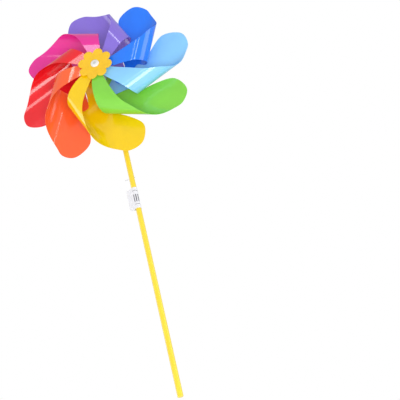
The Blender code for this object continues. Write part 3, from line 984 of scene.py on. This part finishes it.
# ------------------------------------------------------------------ neck and stick
@dataclass
class Handle:
    """The neck, the stick, its sticker and the tag pin. Sizes in metres. Each cut is how far a cutter reaches
    past what it cuts. The sticker's flag has two layers, whose middles stand ply_share of the sheet from the
    flag's own middle, and they part at join_share of the wrap's radius from the stick's centre."""

    bore_radius: float = 0.00175
    wall: float = 0.0013
    fit_gap: float = 0.0003
    running_gap: float = 0.00015
    neck_round: float = 0.0004
    neck_cut: float = 0.02
    socket_cut: float = 0.01
    stick_round: float = 0.0003
    stick_rows: int = 40
    stick_cut: float = 0.01
    pin_radius: float = 0.00045
    pin_waist: float = 0.00027
    label_sheet: float = 0.00025
    label_corner: float = 0.0030
    label_rows: int = 28
    circle_points: int = 65
    flag_points: int = 22
    web_points: int = 8
    flag_slack: float = 0.00001
    ply_share: float = 0.52
    join_share: float = 1.75

    def build_neck(self) -> None:
        """A collar round the axle, joined to a socket over the stick, with the bore and the socket cut."""
        low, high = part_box("neck")
        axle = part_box("axle_pin")
        height = (axle[0].z + axle[1].z) / 2
        socket_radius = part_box("stick")[1].x + self.running_gap
        outer = socket_radius + self.wall
        collar_radius = high.z - height
        half = (high.y - low.y) / 2
        stick_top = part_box("stick")[1].z
        on_axle, on_stick = (0, 0, height), (0, 0, 0)
        corners = [(0, low.z), (outer, low.z), (outer, height), (0, height)]
        soft = rounded(corners, self.neck_round, closed=False)
        body = turned("neck_joint", soft, Axis.Z, on_stick, closed=False)
        corners = [(0, -half), (collar_radius, -half), (collar_radius, half), (0, half)]
        soft = rounded(corners, self.neck_round, closed=False)
        collar = turned("collar", soft, Axis.Y, on_axle, closed=False)
        bore = rod("bore", Axis.Y, on_axle, self.bore_radius, (-self.neck_cut, self.neck_cut))
        ends = (low.z - self.socket_cut, stick_top + self.fit_gap)
        socket = rod("socket", Axis.Z, on_stick, socket_radius, ends)
        neck = combined(body, [(collar, "UNION"), (bore, "DIFFERENCE"), (socket, "DIFFERENCE")])
        finish = MouldedPlastic(WHITE, 0.32).material("neck_joint")
        dress(neck, finish, "neck", ["neck"])

    def build_stick(self) -> None:
        """A straight round rod with softened ends, drilled across for the tag pin. Its side has many short
        rows, so that its faces stay near square."""
        low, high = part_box("stick")
        radius = high.x
        corners = [(0, low.z), (radius, low.z), (radius, high.z), (0, high.z)]
        soft = rounded(corners, self.stick_round, closed=False)
        half = len(soft) // 2
        between = np.linspace(soft[half - 1], soft[half], self.stick_rows)[1:-1]
        section = np.vstack([soft[:half], between, soft[half:]])
        stick = turned("round_stick", section, Axis.Z, (0, 0, 0), closed=False, sides=48)
        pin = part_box("tag_pin")
        level = (pin[0].z + pin[1].z) / 2
        reach = self.pin_radius + self.fit_gap
        hole = rod("hole", Axis.X, (0, 0, level), reach, (-self.stick_cut, self.stick_cut), sides=24)
        stick = combined(stick, [(hole, "DIFFERENCE")])
        dress(stick, ExtrudedPlastic(STICK_YELLOW).material("round_stick"), "stick", ["stick"])

    def build_tag_pin(self) -> None:
        """A thin nylon pin with a small knob where it was pushed through."""
        low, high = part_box("tag_pin")
        level = (low.z + high.z) / 2
        radius = self.pin_radius
        tip = [(0, low.x), (radius * 0.5, low.x + 0.00008), (radius * 0.78, low.x + 0.0003)]
        waist = [(self.pin_waist, low.x + 0.003), (self.pin_waist, high.x - 0.0011)]
        knob = [
            (radius, high.x - 0.0008), (radius, high.x - 0.0003), (self.pin_waist, high.x), (0, high.x)
        ]
        section = np.vstack([tip, waist, knob])
        pin = turned("nylon_pin", section, Axis.X, (0, 0, level), closed=False, sides=20)
        dress(pin, ClearNylon().material("nylon_pin"), "stick", ["tag_pin"])

    def build_label(self) -> None:
        """A sticker wrapped once round the stick, its ends pressed together as a flag towards -X.

        Its plan is a line: in along the flag's front layer, once round a circle, and out along the back one.
        Near the flag's end the height shrinks by c - sqrt(c^2 - (c - x)^2), a quarter circle of radius c.
        """
        low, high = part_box("label")
        radius = high.x - self.label_sheet / 2
        reach = -low.x
        meet = self.join_share * radius
        join = math.acos(radius / meet)
        turn = np.linspace(math.pi + join, 3 * math.pi - join, self.circle_points)
        circle = np.column_stack([radius * np.cos(turn), radius * np.sin(turn)])
        flag_x = np.linspace(-reach + self.flag_slack, -meet, self.flag_points)
        front = np.column_stack([flag_x, np.full_like(flag_x, -self.label_sheet * self.ply_share)])
        web = np.linspace(front[-1], circle[0], self.web_points)[1:-1]
        line = np.vstack([front, web, circle, (web * [1, -1])[::-1], (front * [1, -1])[::-1]])
        tangent = np.gradient(line, axis=0)
        tangent /= np.linalg.norm(tangent, axis=1, keepdims=True)
        normal = np.column_stack([-tangent[:, 1], tangent[:, 0], np.zeros(len(line))])
        away = np.clip(line[:, 0] + reach, 0, self.label_corner)
        inset = self.label_corner - np.sqrt(self.label_corner**2 - (self.label_corner - away) ** 2)
        share = np.linspace(0, 1, self.label_rows)[None, :]
        z = (low.z + inset)[:, None] * (1 - share) + (high.z - inset)[:, None] * share
        plan = np.repeat(line, self.label_rows, axis=0)
        middle = np.column_stack([plan, z.ravel()])
        walked = np.concatenate([[0], np.cumsum(np.linalg.norm(np.diff(line, axis=0), axis=1))])
        round_start = len(front) + len(web)
        stick_front = np.interp(3 * math.pi / 2, turn, walked[round_start:round_start + len(turn)])
        distance = np.repeat(walked - stick_front, self.label_rows)
        flat = np.column_stack([distance, (z.ravel() - low.z) / (high.z - low.z)])
        normals = np.repeat(normal, self.label_rows, axis=0)
        quads = grid_quads(len(line), self.label_rows)
        points, cells = thicken(middle, normals, quads, self.label_sheet)
        label = make_piece("wrap_sticker", points, cells, sharp=50, flat=np.vstack([flat, flat]))
        dress(label, StickerPaper().material("wrap_sticker"), "stick", ["label"])

    def build(self) -> None:
        """Builds and dresses every piece that does not spin."""
        self.build_neck()
        self.build_stick()
        self.build_tag_pin()
        self.build_label()


# ------------------------------------------------------------------ studio
@dataclass(frozen=True)
class SoftBox:
    """A rectangular lamp, placed by the direction it is seen in from the hub. It lights the named pieces
    only, as a flagged lamp would, or everything when none is named. Sizes in metres, tilt in degrees."""

    name: str
    direction: tuple[float, float, float]
    distance: float
    width: float
    height: float
    watts: float
    tilt: float = 0.0
    lit: tuple[str, ...] = ()


@dataclass
class Studio:
    """Camera, lamps, white surround and pale floor. The camera's place and axes are in metres and as unit
    vectors, and the clip range and the floor's half width are in metres."""

    eye: tuple[float, float, float] = (0.2018, -0.9360, -0.3040)
    right: tuple[float, float, float] = (0.94152, 0.25267, -0.22305)
    up: tuple[float, float, float] = (0.31661, -0.43620, 0.84234)
    back: tuple[float, float, float] = (0.11553, -0.86365, -0.49067)
    lens: float = 80.4
    film: float = 36.0
    clip: tuple[float, float] = (0.01, 200.0)
    floor_drop: float = 0.75
    floor_half: float = 6.0
    surround: float = 0.58
    boxes: tuple[SoftBox, ...] = (
        SoftBox("front_box", (0.20, -0.70, -0.75), 1.5, 0.9, 0.9, 17.0),
        SoftBox("broad_box", (-0.99, 0.05, 0.20), 1.5, 1.0, 1.0, 5.0),
        SoftBox("fill_box", (0.95, -0.10, 0.10), 1.5, 0.8, 0.8, 4.0),
        SoftBox(
            "right_strip", (0.34, -0.80, 0.50), 1.4, 0.07, 1.0, 1.3, -10.0, ("sheet_blue", "sheet_orange")
        ),
        SoftBox("far_strip", (0.56, -0.75, 0.35), 1.4, 0.08, 0.7, 1.2, -10.0, ("sheet_blue",)),
        SoftBox("low_strip", (0.20, -0.95, -0.22), 1.4, 0.03, 0.6, 0.3, 60.0, ("sheet_sky",)),
        SoftBox("high_strip", (0.10, -0.66, 0.74), 1.4, 0.06, 0.34, 0.4, 80.0, ("sheet_purple",)),
        SoftBox("band_box", (-0.19, -0.865, 0.465), 1.4, 0.44, 0.28, 1.9, 0.0, ("sheet_red",)),
        SoftBox("pink_box", (-0.20, -0.80, 0.55), 1.4, 0.30, 0.14, 0.6, 0.0, ("sheet_pink",)),
        SoftBox("hub_box", (-0.13, -0.80, 0.59), 1.4, 0.08, 0.05, 0.10, 0.0, ("sheet_orange",)),
    )

    def build_camera(self) -> None:
        """A long lens below the wheel, looking up along the stick."""
        data = bpy.data.cameras.new("camera")
        data.lens = self.lens
        data.sensor_width = self.film
        data.clip_start, data.clip_end = self.clip
        camera = bpy.data.objects.new("camera", data)
        bpy.context.scene.collection.objects.link(camera)
        axes = Matrix((self.right, self.up, self.back)).transposed()
        camera.matrix_world = Matrix.Translation(self.eye) @ axes.to_4x4()
        bpy.context.scene.camera = camera

    def build_lamps(self, hub: Vector) -> None:
        """Hangs each soft box in its direction from the hub, facing the hub."""
        for box in self.boxes:
            data = bpy.data.lights.new(box.name, "AREA")
            data.shape = "RECTANGLE"
            data.size, data.size_y = box.width, box.height
            data.energy = box.watts
            lamp = bpy.data.objects.new(box.name, data)
            bpy.context.scene.collection.objects.link(lamp)
            toward = Vector(box.direction).normalized()
            tilt = Matrix.Rotation(math.radians(box.tilt), 3, "Z")
            turn = toward.to_track_quat("Z", "Y").to_matrix() @ tilt
            lamp.matrix_world = Matrix.Translation(hub + toward * box.distance) @ turn.to_4x4()
            if box.lit:
                receivers = bpy.data.collections.new(box.name)
                for name in box.lit:
                    receivers.objects.link(bpy.data.objects[name])
                lamp.light_linking.receiver_collection = receivers

    def build_surround(self) -> None:
        """White air all round: seen at full white, while a dimmer share of it lights the pieces."""
        world = bpy.data.worlds.new("studio")
        bpy.context.scene.world = world
        world.use_nodes = True
        tree = world.node_tree
        shade = tree.nodes["Background"]
        path = tree.nodes.new("ShaderNodeLightPath")
        strength = tree.nodes.new("ShaderNodeMapRange")
        strength.inputs["To Min"].default_value = self.surround
        strength.inputs["To Max"].default_value = 1.0
        tree.links.new(path.outputs["Is Camera Ray"], strength.inputs["Value"])
        tree.links.new(strength.outputs["Result"], shade.inputs["Strength"])
        shade.inputs["Color"].default_value = (1.0, 1.0, 1.0, 1.0)

    def build_floor(self) -> None:
        """A wide flat floor well below the held stick."""
        line = np.linspace(-self.floor_half, self.floor_half, 9)
        u, v = np.meshgrid(line, line, indexing="ij")
        points = np.stack([u, v, np.full_like(u, -self.floor_drop)], axis=-1).reshape(-1, 3)
        mesh = bpy.data.meshes.new("floor")
        mesh.from_pydata(points.tolist(), [], grid_quads(len(line), len(line)).tolist())
        floor = bpy.data.objects.new("floor", mesh)
        bpy.context.scene.collection.objects.link(floor)
        floor.data.materials.append(StudioPaper().material("floor"))

    def build(self, hub: Vector) -> None:
        """Sets up everything around the object."""
        self.build_camera()
        self.build_surround()
        self.build_lamps(hub)
        self.build_floor()
        bpy.context.scene.view_settings.view_transform = "Standard"
        LOG.info("studio: %d soft boxes", len(self.boxes))


def main() -> None:
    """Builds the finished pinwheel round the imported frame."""
    logging.basicConfig(level=logging.INFO, format="%(name)s %(message)s")
    for obj in list(bpy.data.objects):
        bpy.data.objects.remove(obj)
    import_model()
    wheel = Wheel()
    wheel.build()
    Handle().build()
    Studio().build(Vector((wheel.axle[0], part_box("blade_green")[0].y, wheel.axle[2])))


if __name__ == "__main__":
    main()
